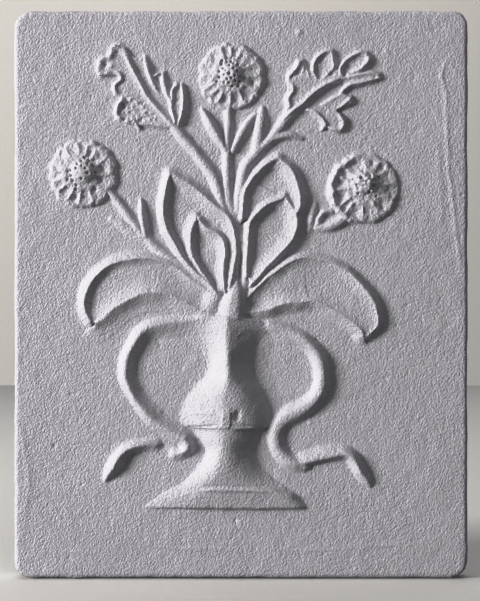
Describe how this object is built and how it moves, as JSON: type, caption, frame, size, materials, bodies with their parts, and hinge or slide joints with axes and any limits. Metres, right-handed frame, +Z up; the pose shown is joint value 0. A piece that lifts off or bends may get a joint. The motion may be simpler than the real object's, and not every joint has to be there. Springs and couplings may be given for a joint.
{
  "type": "pargetted panel",
  "caption": "Flat lime plaster panel with a two-handled vase of flowers, drooping leaves and leafy sprays modelled in relief by hand.",
  "frame": {"origin": "middle of the flat back, where the panel lies against the wall", "axes": "+Z up the panel, +X to the viewer's right, and the modelled face looks towards -Y"},
  "size_m": [0.32, 0.0363, 0.4],
  "materials": {
    "lime_plaster": "matt off-white lime and sand plaster, brushed, with sand grain, small pits and soft tool marks"
  },
  "bodies": {
    "root": {"pargetted_panel": "lime_plaster"}
  },
  "joints": []
}
